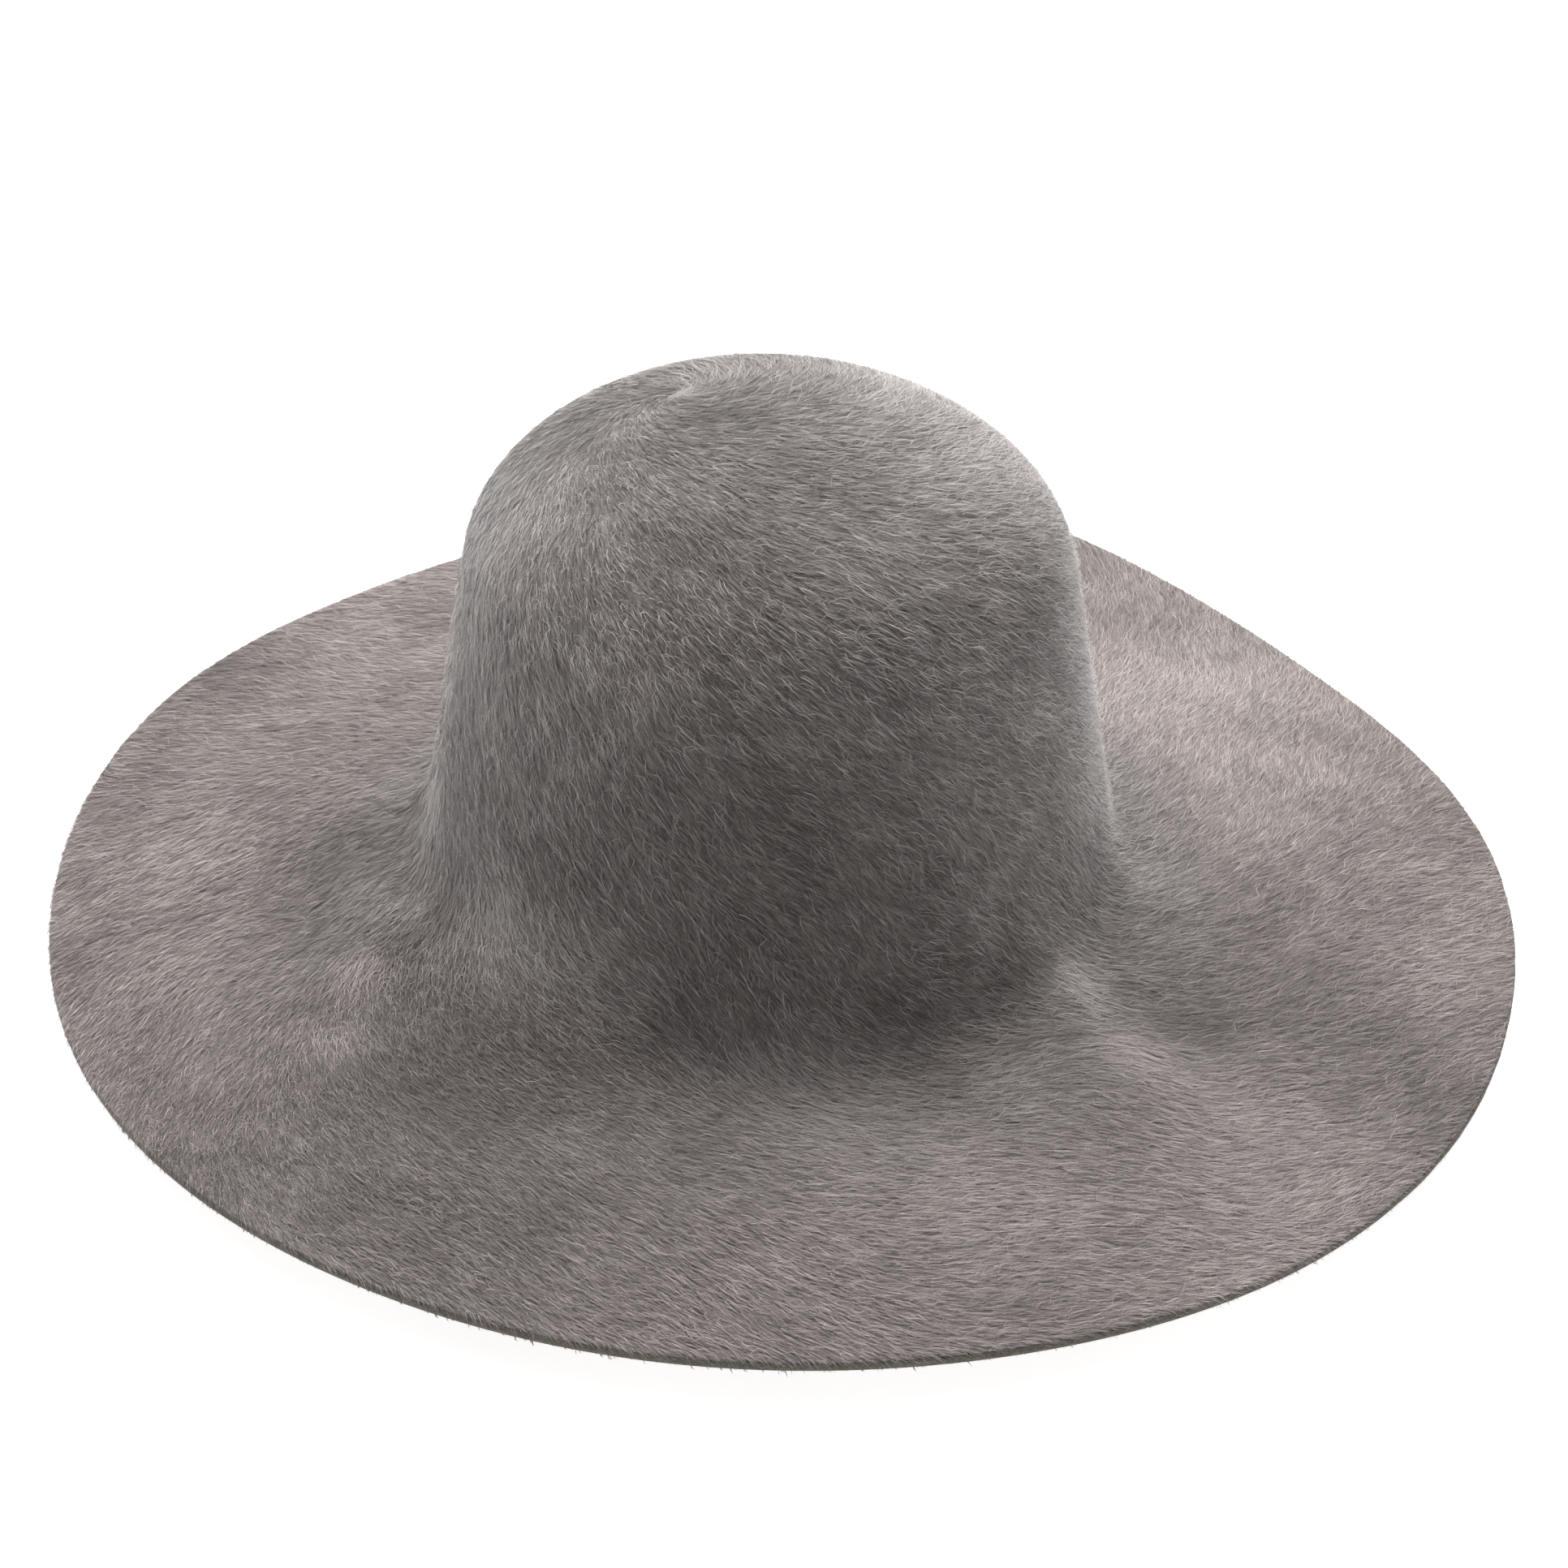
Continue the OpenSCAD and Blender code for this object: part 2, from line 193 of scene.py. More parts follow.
class Nodes:
    """Short calls for building a node tree."""

    def __init__(self, m):
        self.tree = m.node_tree
        self.shader = self.tree.nodes["Principled BSDF"]

    def add(self, kind, inputs=None, **settings):
        node = self.tree.nodes.new(kind)
        for key, value in settings.items():
            setattr(node, key, value)
        for key, value in (inputs or {}).items():
            if isinstance(value, bpy.types.NodeSocket):
                self.tree.links.new(value, node.inputs[key])
            else:
                node.inputs[key].default_value = value
        return node

    def place(self):
        """Coordinates in metres that ride with the piece."""
        return self.add("ShaderNodeTexCoord").outputs["Object"]

    def link(self, out, socket):
        self.tree.links.new(out, self.shader.inputs[socket])

    def ramp(self, value, low, high, start=0.0, end=1.0):
        node = self.add("ShaderNodeValToRGB", {"Fac": value})
        node.color_ramp.elements[0].position = start
        node.color_ramp.elements[1].position = end
        node.color_ramp.elements[0].color = (*low, 1)
        node.color_ramp.elements[1].color = (*high, 1)
        return node.outputs["Color"]

    def roughness(self, value, low, high):
        node = self.add("ShaderNodeMapRange", {"Value": value, "To Min": low, "To Max": high})
        self.link(node.outputs["Result"], "Roughness")

    def bump(self, height, strength, distance):
        node = self.add("ShaderNodeBump", {"Height": height, "Strength": strength, "Distance": distance})
        self.link(node.outputs["Normal"], "Normal")


FELT_DARK = (0.13, 0.117, 0.11)
FELT_LIGHT = (0.24, 0.216, 0.205)
EDGE_COLOUR = (0.075, 0.068, 0.055)
EDGE_DARK = (0.05, 0.046, 0.037)
EDGE_LIGHT = (0.15, 0.135, 0.11)
# tints of single hairs, dark to light, and how common each is
NAP_TINTS = [((0.100, 0.090, 0.085), 0.05), ((0.140, 0.126, 0.120), 0.12), ((0.178, 0.160, 0.152), 0.24),
             ((0.215, 0.194, 0.185), 0.28), ((0.255, 0.232, 0.222), 0.18), ((0.320, 0.294, 0.283), 0.09),
             ((0.430, 0.402, 0.390), 0.04)]
CROWN_CAST = (1, 1, 1)
BRIM_CAST = (1.055, 1.012, 1.006)       # the brim is a little warmer than the crown


def felt_material():
    """The felt under the nap."""
    m = material("fur_felt_ground", FELT_DARK, 0.95, Sheen_Weight=0.15)
    n = Nodes(m)
    where = n.place()
    fuzz = n.add("ShaderNodeTexNoise", {"Vector": where, "Scale": 900.0, "Detail": 6.0, "Roughness": 0.7})
    patch = n.add("ShaderNodeTexNoise", {"Vector": where, "Scale": 30.0, "Detail": 3.0})
    both = n.add("ShaderNodeMath", {0: fuzz.outputs["Fac"], 1: patch.outputs["Fac"]}, operation="ADD")
    n.link(n.ramp(both.outputs[0], FELT_DARK, FELT_LIGHT, 0.7, 1.3), "Base Color")
    n.bump(fuzz.outputs["Fac"], 0.8, 0.0006)
    return m


def edge_material():
    """The raw cut edge: darker than the felt, with a few pale fibres."""
    m = material("fur_felt_cut_edge", EDGE_COLOUR, 0.95)
    n = Nodes(m)
    grain = n.add("ShaderNodeTexNoise",
                  {"Vector": n.place(), "Scale": 1400.0, "Detail": 5.0, "Roughness": 0.75})
    n.link(n.ramp(grain.outputs["Fac"], EDGE_DARK, EDGE_LIGHT, 0.35, 0.7), "Base Color")
    n.bump(grain.outputs["Fac"], 1.0, 0.0005)
    return m


def nap_materials():
    """One plain material for each tint, first as on the crown, then as on the brim."""
    mats = []
    for where, cast in [("crown", CROWN_CAST), ("brim", BRIM_CAST)]:
        for i, (colour, _) in enumerate(NAP_TINTS):
            colour = tuple(c * k for c, k in zip(colour, cast))
            mats.append(material(f"nap_{where}_{i}", colour, 0.7, Sheen_Weight=0.9, Sheen_Roughness=0.3,
                                 Specular_IOR_Level=0.12))
    return mats


# ---- Meshes

def mesh_object(name, verts, faces, mats, face_slot=None):
    """A smooth-shaded object. faces is a list of integer arrays, one per face size."""
    mesh = bpy.data.meshes.new(name)
    sizes = np.concatenate([np.full(len(f), f.shape[1]) for f in faces])
    loops = np.concatenate([f.reshape(-1) for f in faces])
    starts = np.concatenate([[0], np.cumsum(sizes)[:-1]])
    mesh.vertices.add(len(verts))
    mesh.vertices.foreach_set("co", np.ascontiguousarray(verts, np.float32).reshape(-1))
    mesh.loops.add(len(loops))
    mesh.loops.foreach_set("vertex_index", loops.astype(np.int32))
    mesh.polygons.add(len(sizes))
    mesh.polygons.foreach_set("loop_start", starts.astype(np.int32))
    if face_slot is not None:
        mesh.polygons.foreach_set("material_index", face_slot.astype(np.int32))
    mesh.polygons.foreach_set("use_smooth", np.full(len(sizes), True))
    for m in mats:
        mesh.materials.append(m)
    mesh.update(calc_edges=True)
    mesh.validate()
    obj = bpy.data.objects.new(name, mesh)
    bpy.context.scene.collection.objects.link(obj)
    return obj


def seat(obj, slot, *nodes):
    """The piece rides on the hat and stands for these CAD nodes, if any, which are hidden. slot is not used.
    """
    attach(obj, "hat")
    if nodes:
        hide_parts(*nodes)
    return obj


def grid_normals(rows):
    """Outward unit normals of a ring grid."""
    down = np.gradient(rows, axis=0)
    round_way = np.roll(rows, -1, 1) - np.roll(rows, 1, 1)
    n = unit(np.cross(down, round_way))
    n[np.linalg.norm(n, axis=-1) < 0.5] = (0, 0, 1)
    return n


HASH_BITS = 0x7FFFFFFF


def lattice_value(x, y, z, seed):
    """A value from -1 to 1 for each whole-number place, scattered but the same on every run."""
    key = x * 73856093 ^ y * 19349663 ^ z * 83492791
    key = (key ^ (seed * 2654435761)) & HASH_BITS
    key = (key * 1103515245 + 12345) & HASH_BITS
    key = (key ^ (key >> 13)) * 1274126177 & HASH_BITS
    return key / (HASH_BITS // 2) - 1


def smooth_noise(points, cell, seed):
    """Value noise from -1 to 1 with features of about one cell, the same on every run."""
    p = points / cell + 1000.0          # keeps the whole-number places positive
    i = np.floor(p).astype(np.int64)
    f = p - i
    f = f * f * (3 - 2 * f)
    out = np.zeros(points.shape[:-1])
    for corner in itertools.product((0, 1), repeat=3):
        x, y, z = (i[..., k] + corner[k] for k in range(3))
        wx, wy, wz = (np.abs(1 - corner[k] - f[..., k]) for k in range(3))
        out += wx * wy * wz * lattice_value(x, y, z, seed)
    return out


def ring_faces(rows, size):
    """Quads between successive rings, facing outward for rings listed from the top down."""
    i, j = np.meshgrid(np.arange(rows - 1), np.arange(size), indexing="ij")
    a = i * size + j
    b = i * size + (j + 1) % size
    return np.stack([a, a + size, b + size, b], -1).reshape(-1, 4)


def fan(tip, first, second):
    """Triangles from one point to the sides of a ring."""
    return np.stack([np.full(len(first), tip), first, second], -1)


# ---- Felt body

ANGLES = np.arange(0, 360, 1.0)
DOME_RINGS, WALL_RINGS, BEND_RINGS, BRIM_RINGS = 26, 14, 14, 44
EDGE_STEPS = 5
LUMPS = [(0.22, 9.0, 1), (0.12, 3.0, 2)]        # unevenness of the felt: height, size, seed
EDGE_BULGE = 0.45
EDGE_LUMPS = (0.18, 2.2, 3)


def cut_edge(outer, inner):
    """Rings across the felt's thickness at the cut edge, a little bulged and uneven."""
    height, size, seed = EDGE_LUMPS
    out_dir = unit(outer[-1] - outer[-2])
    rings = []
    for k in range(1, EDGE_STEPS):
        f = k / EDGE_STEPS
        bulge = EDGE_BULGE * math.sin(math.pi * f) + height * smooth_noise(outer[-1] + 50.0 * k, size, seed)
        rings.append(outer[-1] * (1 - f) + inner[-1] * f + out_dir * np.reshape(bulge, (-1, 1)))
    return np.array(rings)


def build_felt():
    outer = felt_rings(ANGLES, DOME_RINGS, WALL_RINGS, BEND_RINGS, BRIM_RINGS)
    n = grid_normals(outer)
    inner = outer - n * FELT_T
    lumps = sum(height * smooth_noise(outer, size, seed) for height, size, seed in LUMPS)
    outer = outer + n * lumps[..., None]
    rings = np.concatenate([outer, cut_edge(outer, inner), inner[::-1]])
    apex_out = one_crown_point(0.0, CROWN_H)
    apex_in = apex_out - np.array([0, 0, FELT_T])
    verts = placed(np.concatenate([rings.reshape(-1, 3), [apex_out, apex_in]]))

    size, rows = len(ANGLES), len(outer)
    quads = ring_faces(len(rings), size)
    j = np.arange(size)
    k = (j + 1) % size
    top, last_ring = len(verts) - 2, (len(rings) - 1) * size
    fans = np.concatenate([fan(top, j, k), fan(top + 1, last_ring + k, last_ring + j)])
    slot = np.zeros(len(quads) + len(fans))
    slot[(rows - 1) * size:(rows - 1 + EDGE_STEPS) * size] = 1
    felt = mesh_object("felt_hat_body", verts, [quads, fans], [felt_material(), edge_material()], slot)
    seat(felt, "fur_felt", "felt_body")


# ---- Brushed direction and shading of the nap

WHORL = np.array([-31.0, 26.0])         # where the nap starts, from the dome's apex
WHORL_FADE = 55.0
LIE = 43.0      # degrees from straight down the felt, to the right as seen from the front
# change of that on the brim: angle, half width, degrees
LIE_PLACES = [(275, 45, 24), (0, 40, -6), (180, 30, -10), (232, 22, 12)]
LIE_FADE = 30.0                         # mm over which that change comes in, from the crown's foot
SWIRLS = [(18, 46.0, 11), (16, 19.0, 12)]       # uneven brushing: degrees, size in mm, seed

# Painted light and shade: patches of lighter or darker hairs, as painted highlights on the ridges and along
# the crown's rims, painted shade in the troughs and at the crown's foot, and painted sheen and shade where
# the
# brushed nap catches more or less light: on the crown angle and height, on the brim angle and share of its
# width, then size in mm and amount
CROWN_PAINTED_LIGHT = [(248, 117, 32, -0.5), (285, 60, 50, -0.4), (20, 112, 28, 0.35), (200, 106, 20, 0.35),
                 (262, 64, 36, -0.45), (150, 124, 22, -0.5), (345, 118, 20, 0.25), (330, 95, 13, -0.45),
                 (187, 22, 14, 1.2), (186, 62, 16, 0.5), (240, 95, 18, 0.15), (340, 40, 14, 0.3),
                 (222, 18, 14, 0.7), (240, 16, 13, 0.6), (310, 13, 8, -0.5), (356, 16, 13, 0.55),
                 (352, 58, 18, 0.3), (203, 52, 14, -0.25), (276, 30, 24, -0.25)]
BRIM_PAINTED_LIGHT = [(183, 0.2, 17, -0.5), (232, 0.42, 26, -0.35), (245, 0.8, 26, -0.3), (224, 0.9, 24, -0.35),
                (230, 0.16, 15, -0.3), (203, 0.1, 7, 0.6), (212, 0.28, 8, 0.8), (219, 0.46, 9, 0.5),
                (202, 0.62, 22, 0.25), (183, 0.6, 24, 0.2), (152, 0.92, 24, -0.5),
                (274, 0.14, 20, 0.95), (262, 0.62, 20, -0.05), (289, 0.46, 28, 0.6), (306, 0.2, 24, 0.25),
                (306, 0.85, 36, 0.4), (320, 0.02, 9, 1.3), (315, 0.28, 10, 0.7), (329, 0.32, 9, -0.4),
                (338, 0.55, 13, -0.25), (334, 0.72, 16, -0.1), (331, 0.94, 15, -0.5), (350, 0.05, 9, 0.4),
                (316, 0.52, 20, 0.35), (350, 0.5, 26, -0.1), (35, 0.5, 36, 0.3),
                (346, 0.82, 14, 0.4)]
PAINTED_LIGHT_WEIGHT = 4
# unevenness between hairs: on the crown, on the brim, size in mm and seed of the wide and the fine part
CROWN_UNEVEN, BRIM_UNEVEN = 0.9, 0.6
WIDE_SHADE, FINE_SHADE, FINE_SHARE = (26.0, 21), (8.0, 22), 0.7
SHADE_TO_TINT = 0.22

# places on the crown that are as warm in colour as the brim: angle, height, size in mm, amount
WARM_PLACES = [(248, 114, 34, 0.9), (330, 112, 24, 0.4)]
COOL_RADIUS, WARM_RADIUS = 90.0, 120.0


def distance(p, at):
    return np.linalg.norm(p - at, axis=-1)


def warmth(p):
    """Share of warm hairs at points p: none on the crown's wall, all on the brim."""
    on_brim = (np.linalg.norm(p[:, :2], axis=-1) - COOL_RADIUS) / (WARM_RADIUS - COOL_RADIUS)
    places = sum(much * bell(distance(p, one_crown_point(a, h)), size) for a, h, size, much in WARM_PLACES)
    return np.maximum(on_brim, places)


# Painted light and shade at points p: above nought a painted highlight, below it painted shade.
def painted_light_and_shade(p):
    spots = [(one_crown_point(a, h), size, much) for a, h, size, much in CROWN_PAINTED_LIGHT]
    spots += [(brim_point(np.array([a]), s), size, much) for a, s, size, much in BRIM_PAINTED_LIGHT]
    return sum(much * bell(distance(p, at), size) for at, size, much in spots)


def nap_direction(p, n, side):
    """Which way the nap lies at points p with normals n: a swirl round the dome. side is as in grow_nap."""
    away = np.stack([p[:, 0] - CROWN_SHIFT_X - DOME_LEAN[0], p[:, 1] - DOME_LEAN[1]], -1)
    reach = np.linalg.norm(away, axis=-1, keepdims=True)
    away = away - WHORL * np.exp(-(reach / WHORL_FADE) ** 2)
    across = np.stack([-away[:, 1], away[:, 0], 0 * away[:, 0]], -1)
    across = unit(across - n * np.sum(across * n, -1, keepdims=True))
    down = np.cross(across, n) * side
    a = np.degrees(np.arctan2(p[:, 1], p[:, 0]))
    on_brim = np.clip((reach[:, 0] - CROWN_HALF_W) / LIE_FADE, 0, 1)
    lie = LIE + on_brim * sum(extra * bell(turn(a - at), wide) for at, wide, extra in LIE_PLACES)
    for much, size, seed in SWIRLS:
        lie = lie + much * smooth_noise(p, size, seed)
    lie = np.radians(lie)[:, None]
    return unit(np.cos(lie) * down + np.sin(lie) * across)


# ---- Guide surface that the hairs follow

GUIDE_BRIM_RINGS = 48
GUIDE_PAST_EDGE = 0.06          # as a share of the brim's width


def guide_surface(side):
    """A grid past the cut edge, so that hair can hang over it, its normals and a tree to find places on it.

    side is 1 above and -1 underneath."""
    rows = felt_rings(ANGLES, DOME_RINGS, WALL_RINGS, BEND_RINGS, GUIDE_BRIM_RINGS, 0, GUIDE_PAST_EDGE)
    n = grid_normals(rows)
    if side < 0:
        rows, n = rows - n * FELT_T, -n
    quads = ring_faces(len(rows), rows.shape[1])
    return rows, n, BVHTree.FromPolygons(rows.reshape(-1, 3).tolist(), quads.tolist())


def between(grid, i, j, f, g):
    """Values of a ring grid at place [i, j], f of the way to the next ring and g to the next point."""
    k = (j + 1) % grid.shape[1]
    here = grid[i, j] * (1 - f) + grid[i + 1, j] * f
    beside = grid[i, k] * (1 - f) + grid[i + 1, k] * f
    return here * (1 - g) + beside * g


def scatter(rows, n, count, top, bottom):
    """Random places on the grid between two rings, evenly by area, with normals."""
    a = rows[top:bottom + 1]
    right = np.roll(a, -1, 1)
    area = np.linalg.norm(np.cross(a[1:] - a[:-1], right[1:] - a[:-1]), axis=-1)
    pick = random.choice(area.size, count, p=(area / area.sum()).ravel())
    i, j = np.unravel_index(pick, area.shape)
    f, g = random.random((2, count, 1))
    return between(rows, i + top, j, f, g), unit(between(n, i + top, j, f, g))


def onto(tree, points, normals):
    """Nearest points of the guide surface, with normals on the same side as the given ones."""
    found = [tree.find_nearest(p) for p in points.tolist()]
    at = np.array([f[0][:] for f in found])
    n = np.array([f[1][:] for f in found])
    return at, n * np.sign(np.sum(n * normals, -1, keepdims=True))


def edge_line():
    """The cut edge in plan: angles in rising order and how far out it is at each."""
    fine = np.arange(-180, 181, 1.0)
    edge = brim_point(fine, 1 + 0 * fine)[:, :2]
    angle = np.degrees(np.arctan2(edge[:, 1], edge[:, 0]))
    order = np.argsort(angle)
    return angle[order], np.linalg.norm(edge, axis=-1)[order]


EDGE_ANGLE, EDGE_REACH = edge_line()


def past_edge(p):
    """How far points are outside the cut edge in plan, minus inside."""
    a = np.degrees(np.arctan2(p[:, 1], p[:, 0]))
    return np.linalg.norm(p[:, :2], axis=-1) - np.interp(a, EDGE_ANGLE, EDGE_REACH, period=360)


# ---- Hairs (mm, degrees)

ROOT_INSET = 0.3        # no hair is rooted nearer to the cut edge
ROOT_DEPTH = 0.15       # how deep roots stand in the felt
CLUMP_SHARE = 0.2       # clumps for each hair
CLUMP_PULL = 0.35       # most that a tip is drawn to the tip of its clump's middle hair
# least and most of what a hair has of its piece's length, lift and width, and its tip of its own rise
LENGTH_SPREAD, RISE_SPREAD, WIDTH_SPREAD, TIP_SPREAD = (0.6, 1.25), (0.3, 1.0), (0.7, 1.25), (0.5, 1.35)
HAIR_TURN, CLUMP_TURN, STRAY_TURN, ROLL = 13, 8, 42, 15     # usual degrees off the brushed direction
STRAY_SHARE, STRAY_RISE, STRAY_WIDTH = 0.2, 2.4, 0.75
WILD = (232, 0.5, 55, 1.0)      # ruffled part of the brim: angle, share of its width, size, amount
EDGE_ZONE = 4.0         # hairs rooted this near the cut edge lean out over it
EDGE_LEAN = 1.2         # how strongly at most
EDGE_DROOP = 1.3        # how steeply they hang down past it
OVERHANG = {1: (0.1, 1.5), -1: (-2.5, -0.6)}    # how far past the edge tips may reach, above and underneath
SHORTEST = 0.15         # no hair is cut to less than this share of its length
KEEP_FLOW = 0.4         # how much a hair's outer half keeps the direction of its inner half
MID_RISE, MID_WIDTH = 0.75, 0.42        # a hair's middle: share of its rise, and half its width as a share
RESTING_GAP = 0.05      # above the floor, where the hat rests and presses the hairs flat
TINT_KEEP = 0.3         # share of hairs that have the tint of their clump
DEEP_SHARE, DEEP_STEPS = 0.14, 3        # hairs in shade among the others, and how many tints darker
STRAY_STEPS_CROWN, STRAY_STEPS_BRIM = 3, 2      # how many tints lighter strays are, a painted highlight for the light that standing strays catch


def kept_short(p0, p1, p2, most):
    """Shortens hairs whose tips would hang further than most past the cut edge."""
    inside, tip = past_edge(p0), past_edge(p2)
    share = np.clip((most - inside) / np.maximum(tip - inside, 0.01), SHORTEST, 1)
    share = np.where(tip > most, share, 1)[:, None]
    return p0 + (p1 - p0) * share, p0 + (p2 - p0) * share


def find_clumps(p):
    """The number of the clump that each hair belongs to, and how many clumps there are."""
    count = int(len(p) * CLUMP_SHARE)
    middles = KDTree(count)
    for i, at in enumerate(p[:count].tolist()):
        middles.insert(at, i)
    middles.balance()
    return np.array([middles.find(at)[1] for at in p.tolist()]), count


def turned_hairs(p, clump, clump_count):
    """Angle of each hair to the brushed direction, and which hairs are strays."""
    own = random.normal(0, HAIR_TURN, len(p))[:, None]
    angle = np.radians(own + random.normal(0, CLUMP_TURN, clump_count)[clump][:, None])
    wild_angle, wild_share, wild_size, wild_amount = WILD
    wild_at = brim_point(np.array([wild_angle]), wild_share)
    angle *= 1 + wild_amount * bell(distance(p, wild_at), wild_size)[:, None]
    stray = random.random(len(p)) < STRAY_SHARE
    angle[stray] += np.radians(random.normal(0, STRAY_TURN, (stray.sum(), 1)))
    return angle, stray


def first_flow(p, n, side, angle):
    """Direction of each hair at its root: as brushed, turned by its angle, outward near the cut edge."""
    flow = nap_direction(p, n, side)
    flow = unit(flow * np.cos(angle) + np.cross(n, flow) * np.sin(angle))
    outward = p * (1, 1, 0) / np.linalg.norm(p[:, :2], axis=-1, keepdims=True)
    near_edge = np.clip(1 + past_edge(p) / EDGE_ZONE, 0, 1)[:, None]
    return unit(flow + outward * near_edge * random.uniform(0, EDGE_LEAN, (len(p), 1)))


def blade_side(n, flow, roll):
    """Direction of a hair's width, rolled a little out of the felt's plane."""
    return unit(np.cross(n, flow)) * np.cos(roll) + n * np.sin(roll)


def blades(points, normals, flows, lift, width, stray):
    """Five corners of each tapered hair: two at the root, two at the middle and the tip."""
    count = len(stray)
    rise = lift * random.uniform(*RISE_SPREAD, count)
    rise[stray] *= STRAY_RISE
    w = width * random.uniform(*WIDTH_SPREAD, count)[:, None]
    w[stray] *= STRAY_WIDTH
    roll = np.radians(random.normal(0, ROLL, count))[:, None]
    root_side, mid_side = (blade_side(n, flow, roll) for n, flow in zip(normals, flows))
    root = points[0] - normals[0] * ROOT_DEPTH
    mid = points[1] + normals[1] * rise[:, None] * MID_RISE
    tip = points[2] + normals[2] * (rise * random.uniform(*TIP_SPREAD, count))[:, None]
    for p in (mid, tip):
        p[:, 2] -= EDGE_DROOP * np.maximum(past_edge(p), 0)
    root_half, mid_half = root_side * w * 0.5, mid_side * w * MID_WIDTH
    corners = np.stack([root - root_half, root + root_half, mid - mid_half, mid + mid_half, tip], 1)
    corners[..., 2] = np.maximum(corners[..., 2], RESTING_GAP - TO_FRAME[2] / MM)
    return corners


def hair_tints(p, clump, clump_count, stray):
    """Material slot of each hair."""
    count = len(p)
    shares = np.cumsum([share for _, share in NAP_TINTS])
    own = random.random(count)
    on_crown = p[:, 2] > BRIM_DROP + BEND
    uneven = np.where(on_crown, CROWN_UNEVEN, BRIM_UNEVEN)
    shade = uneven * (smooth_noise(p, *WIDE_SHADE) + FINE_SHARE * smooth_noise(p, *FINE_SHADE))
    # painted highlights and painted shade on top of the random unevenness of tone
    shade = shade + PAINTED_LIGHT_WEIGHT * painted_light_and_shade(p)
    of_clump = random.random(clump_count)[clump]
    place = np.where(random.random(count) < TINT_KEEP, of_clump, own) + SHADE_TO_TINT * shade
    tint = np.searchsorted(shares / shares[-1], np.clip(place, 0, 0.999))
    deep = random.random(count) < DEEP_SHARE
    # strays painted lighter: a painted highlight for the light they catch
    lighter = np.where(on_crown, STRAY_STEPS_CROWN, STRAY_STEPS_BRIM) * stray
    tint = np.clip(tint + lighter - DEEP_STEPS * deep, 0, len(NAP_TINTS) - 1)
    return tint + len(NAP_TINTS) * (random.random(count) < warmth(p))


def grow_nap(name, side, guide, count, top, bottom, length, width, lift, mats, below=None):
    """One piece of nap: tapered hairs that follow the felt, gathered into small clumps.

    side is 1 on the outer felt and -1 underneath. top and bottom are rings of the guide. below
    keeps only the hairs rooted under that height. Each step draws its random numbers in turn."""
    rows, n, tree = guide
    p0, n0 = scatter(rows, n, count, top, bottom)
    rooted = past_edge(p0) < -ROOT_INSET
    if below is not None:
        rooted &= p0[:, 2] < BRIM_DROP + below
    p0, n0 = p0[rooted], n0[rooted]
    count = len(p0)
    clump, clump_count = find_clumps(p0)

    half_len = length * random.uniform(*LENGTH_SPREAD, count)[:, None] * 0.5
    angle, stray = turned_hairs(p0, clump, clump_count)
    flow0 = first_flow(p0, n0, side, angle)
    p1, n1 = onto(tree, p0 + flow0 * half_len, n0)
    flow1 = unit(nap_direction(p1, n1, side) * (1 - KEEP_FLOW) + flow0 * KEEP_FLOW)
    flow1 = unit(flow1 - n1 * np.sum(flow1 * n1, -1, keepdims=True))
    p2, n2 = onto(tree, p1 + flow1 * half_len, n1)

    p1, p2 = kept_short(p0, p1, p2, random.uniform(*OVERHANG[side], count))
    pull = CLUMP_PULL * random.random((count, 1))
    gap = p2[clump] - p2
    p2 = p2 + pull * (gap - flow1 * np.sum(gap * flow1, -1, keepdims=True))
    corners = blades((p0, p1, p2), (n0, n1, n2), (flow0, flow1), lift, width, stray)
    first = np.arange(count)[:, None] * corners.shape[1]
    tint = hair_tints(p0, clump, clump_count, stray)
    nap = mesh_object(name, placed(corners.reshape(-1, 3)), [first + [[0, 1, 3, 2]], first + [[2, 3, 4]]],
                      mats, np.concatenate([tint, tint]))
    seat(nap, "fur_felt")


DOME_END = DOME_RINGS
WALL_END = DOME_END + WALL_RINGS
BEND_END = WALL_END + BEND_RINGS
BRIM_END = BEND_END + GUIDE_BRIM_RINGS - 2      # the last rings lie past the edge, where nothing is rooted
# pieces on the outer felt: name, number of hairs, first and last ring, width of a hair
NAP_ABOVE = [("nap_dome_top", 42000, 0, DOME_END - 10, 0.17),
             ("nap_dome_side", 60000, DOME_END - 10, DOME_END, 0.17),
             ("nap_wall_upper", 60000, DOME_END, DOME_END + 7, 0.17),
             ("nap_wall_lower", 60000, DOME_END + 7, WALL_END, 0.17),
             ("nap_bend", 65000, WALL_END, BEND_END, 0.17),
             ("nap_brim_1", 62000, BEND_END, BEND_END + 12, 0.155),
             ("nap_brim_2", 62000, BEND_END + 12, BEND_END + 22, 0.155),
             ("nap_brim_3", 62000, BEND_END + 22, BEND_END + 31, 0.155),
             ("nap_brim_4", 62000, BEND_END + 31, BEND_END + 39, 0.155),
             ("nap_brim_5", 62000, BEND_END + 39, BRIM_END, 0.155)]
NAP_BELOW = [("nap_under_inner", 50000, WALL_END, BEND_END + 22, 0.3),
             ("nap_under_outer", 50000, BEND_END + 22, BRIM_END, 0.3)]
LENGTH_ABOVE, LIFT_ABOVE = 6.5, 0.85
LENGTH_BELOW, LIFT_BELOW, HIGHEST_BELOW = 7.0, 0.6, 12


def build_nap():
    mats = nap_materials()
    share = 1.0
    for side, pieces, length, lift, below in [(1, NAP_ABOVE, LENGTH_ABOVE, LIFT_ABOVE, None),
                                              (-1, NAP_BELOW, LENGTH_BELOW, LIFT_BELOW, HIGHEST_BELOW)]:
        guide = guide_surface(side)
        for name, count, first, last, width in pieces:
            grow_nap(name, side, guide, int(count * share), first, last, length, width, lift, mats, below)


# ---- Bands and lining inside the crown (mm; depths are from the outer felt)

